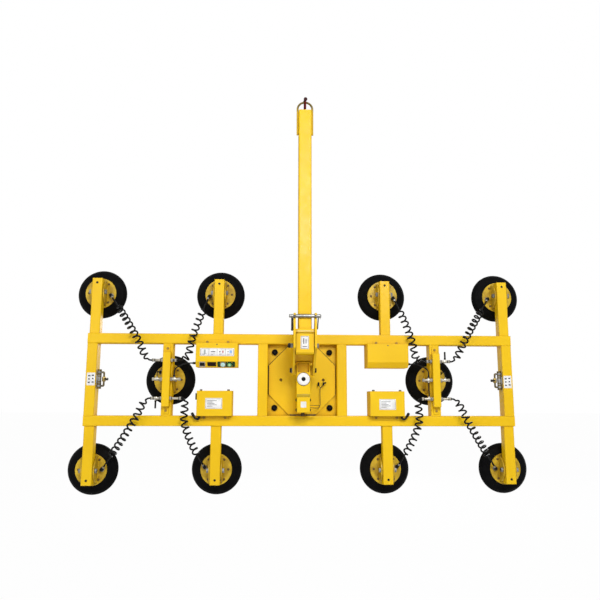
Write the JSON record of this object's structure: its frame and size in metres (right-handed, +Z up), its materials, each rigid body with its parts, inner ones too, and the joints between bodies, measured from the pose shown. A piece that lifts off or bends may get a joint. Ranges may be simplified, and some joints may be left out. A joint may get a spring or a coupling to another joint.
{
  "type": "glass panel lifter",
  "caption": "Hanging vacuum lifter for glass panes: a wide tube frame with swivelling suction cups, a turntable and a tilting head on a square boom.",
  "frame": {"origin": "centre of the lifting bail's top bar, where the lifter hangs", "axes": "+X along the frame to the right of the operator, +Y from the operator to the glass, +Z up the boom"},
  "size_m": [2.786, 0.462, 2.3489],
  "materials": {
    "yellow_paint": "glossy powder coat",
    "black_rubber": "satin",
    "red_paint": "satin",
    "zinc_steel": "plated",
    "white_plastic": "satin",
    "black_plastic": "matte",
    "hose_black": "semi-gloss",
    "cast_aluminium": "cast",
    "brass_fitting": "nickel plated",
    "green_plastic": "gloss",
    "cyan_plastic": "gloss"
  },
  "bodies": {
    "boom": {"boom_tube": "yellow_paint", "boom_foot": "yellow_paint", "lifting_bail": "yellow_paint", "tilt_pivot_bolt": "zinc_steel"},
    "shackle": {"lifting_shackle": "red_paint"},
    "lock_pin": {"lock_pin": "zinc_steel"},
    "head": {"head_cheeks": "yellow_paint", "trunnion_housing": "yellow_paint", "main_axle": "zinc_steel", "axle_cap": "white_plastic", "lock_block": "yellow_paint", "head_bolts": "zinc_steel", "plunger_spring": "zinc_steel"},
    "lock_plunger": {"lock_plunger": "zinc_steel"},
    "frame": {"top_beam": "yellow_paint", "bottom_beam": "yellow_paint", "frame_posts": "yellow_paint", "cup_arms": "yellow_paint", "turntable_plate": "yellow_paint", "back_plate": "yellow_paint", "hub_bush": "zinc_steel", "rubber_bumpers": "black_rubber", "control_box": "yellow_paint", "pump_box": "yellow_paint", "battery_boxes": "yellow_paint", "box_covers": "yellow_paint", "box_bolts": "zinc_steel", "batteries": "black_plastic", "vacuum_pump": "cast_aluminium", "manifold_bars": "yellow_paint", "manifold_fittings": "brass_fitting", "hand_valves": "cast_aluminium", "supply_lines": "black_plastic", "cup_bolts": "zinc_steel", "air_hoses": "hose_black"},
    "valve_lever_left": {"valve_lever_left": "black_plastic"},
    "valve_lever_right": {"valve_lever_right": "black_plastic"},
    "power_switch": {"power_switch": "black_plastic"},
    "start_button": {"start_button": "green_plastic"},
    "stop_button": {"stop_button": "cyan_plastic"},
    "cup_upper_left_outer": {"carrier_upper_left_outer": "yellow_paint", "pad_upper_left_outer": "black_rubber"},
    "cup_upper_left_inner": {"carrier_upper_left_inner": "yellow_paint", "pad_upper_left_inner": "black_rubber"},
    "cup_upper_right_inner": {"carrier_upper_right_inner": "yellow_paint", "pad_upper_right_inner": "black_rubber"},
    "cup_upper_right_outer": {"carrier_upper_right_outer": "yellow_paint", "pad_upper_right_outer": "black_rubber"},
    "cup_middle_left": {"carrier_middle_left": "yellow_paint", "pad_middle_left": "black_rubber"},
    "cup_middle_right": {"carrier_middle_right": "yellow_paint", "pad_middle_right": "black_rubber"},
    "cup_lower_left_outer": {"carrier_lower_left_outer": "yellow_paint", "pad_lower_left_outer": "black_rubber"},
    "cup_lower_left_inner": {"carrier_lower_left_inner": "yellow_paint", "pad_lower_left_inner": "black_rubber"},
    "cup_lower_right_inner": {"carrier_lower_right_inner": "yellow_paint", "pad_lower_right_inner": "black_rubber"},
    "cup_lower_right_outer": {"carrier_lower_right_outer": "yellow_paint", "pad_lower_right_outer": "black_rubber"}
  },
  "joints": [
    {"name": "head_tilt", "type": "hinge", "parent": "boom", "child": "head", "pos_m": [0, 0, -1.465], "axis": [-1, 0, 0], "range_deg": [0, 90]},
    {"name": "frame_turn", "type": "hinge", "parent": "head", "child": "frame", "pos_m": [0, 0.24, -1.648], "axis": [0, 1, 0], "continuous": true},
    {"name": "plunger_slide", "type": "slide", "parent": "head", "child": "lock_plunger", "axis": [0, 0, 1], "range_m": [0, 0.01], "deforming": ["plunger_spring"]},
    {"name": "lock_pin_slide", "type": "slide", "parent": "boom", "child": "lock_pin", "axis": [-1, 0, 0], "range_m": [0, 0.19]},
    {"name": "shackle_swing", "type": "hinge", "parent": "boom", "child": "shackle", "pos_m": [0, 0, 0], "axis": [1, 0, 0], "range_deg": [-60, 60]},
    {"name": "lever_left_turn", "type": "hinge", "parent": "frame", "child": "valve_lever_left", "pos_m": [-1.155, 0.258, -1.648], "axis": [1, 0, 0], "range_deg": [0, 90]},
    {"name": "lever_right_turn", "type": "hinge", "parent": "frame", "child": "valve_lever_right", "pos_m": [1.155, 0.258, -1.648], "axis": [1, 0, 0], "range_deg": [0, 90]},
    {"name": "switch_rock", "type": "hinge", "parent": "frame", "child": "power_switch", "pos_m": [-0.59201, 0.20174, -1.55683], "axis": [1, 0, 0], "range_deg": [-8, 8]},
    {"name": "start_press", "type": "slide", "parent": "frame", "child": "start_button", "axis": [0, 0.7907, 0.6122], "range_m": [0, 0.003], "stiffness_N_per_m": 400},
    {"name": "stop_press", "type": "slide", "parent": "frame", "child": "stop_button", "axis": [0, 0.7907, 0.6122], "range_m": [0, 0.003], "stiffness_N_per_m": 400},
    {"name": "cup_upper_left_outer_tip", "type": "hinge", "parent": "frame", "child": "cup_upper_left_outer", "pos_m": [-1.243, 0.28, -1.12], "axis": [1, 0, 0], "range_deg": [-6, 6], "deforming": ["air_hoses"]},
    {"name": "cup_upper_left_inner_tip", "type": "hinge", "parent": "frame", "child": "cup_upper_left_inner", "pos_m": [-0.50801, 0.28, -1.12], "axis": [1, 0, 0], "range_deg": [-6, 6], "deforming": ["air_hoses"]},
    {"name": "cup_upper_right_inner_tip", "type": "hinge", "parent": "frame", "child": "cup_upper_right_inner", "pos_m": [0.50801, 0.28, -1.12], "axis": [1, 0, 0], "range_deg": [-6, 6], "deforming": ["air_hoses"]},
    {"name": "cup_upper_right_outer_tip", "type": "hinge", "parent": "frame", "child": "cup_upper_right_outer", "pos_m": [1.243, 0.28, -1.12], "axis": [1, 0, 0], "range_deg": [-6, 6], "deforming": ["air_hoses"]},
    {"name": "cup_middle_left_tip", "type": "hinge", "parent": "frame", "child": "cup_middle_left", "pos_m": [-0.80195, 0.28, -1.648], "axis": [1, 0, 0], "range_deg": [-6, 6], "deforming": ["air_hoses"]},
    {"name": "cup_middle_right_tip", "type": "hinge", "parent": "frame", "child": "cup_middle_right", "pos_m": [0.80195, 0.28, -1.648], "axis": [1, 0, 0], "range_deg": [-6, 6], "deforming": ["air_hoses"]},
    {"name": "cup_lower_left_outer_tip", "type": "hinge", "parent": "frame", "child": "cup_lower_left_outer", "pos_m": [-1.243, 0.28, -2.176], "axis": [1, 0, 0], "range_deg": [-6, 6], "deforming": ["air_hoses"]},
    {"name": "cup_lower_left_inner_tip", "type": "hinge", "parent": "frame", "child": "cup_lower_left_inner", "pos_m": [-0.50801, 0.28, -2.176], "axis": [1, 0, 0], "range_deg": [-6, 6], "deforming": ["air_hoses"]},
    {"name": "cup_lower_right_inner_tip", "type": "hinge", "parent": "frame", "child": "cup_lower_right_inner", "pos_m": [0.50801, 0.28, -2.176], "axis": [1, 0, 0], "range_deg": [-6, 6], "deforming": ["air_hoses"]},
    {"name": "cup_lower_right_outer_tip", "type": "hinge", "parent": "frame", "child": "cup_lower_right_outer", "pos_m": [1.243, 0.28, -2.176], "axis": [1, 0, 0], "range_deg": [-6, 6], "deforming": ["air_hoses"]}
  ]
}
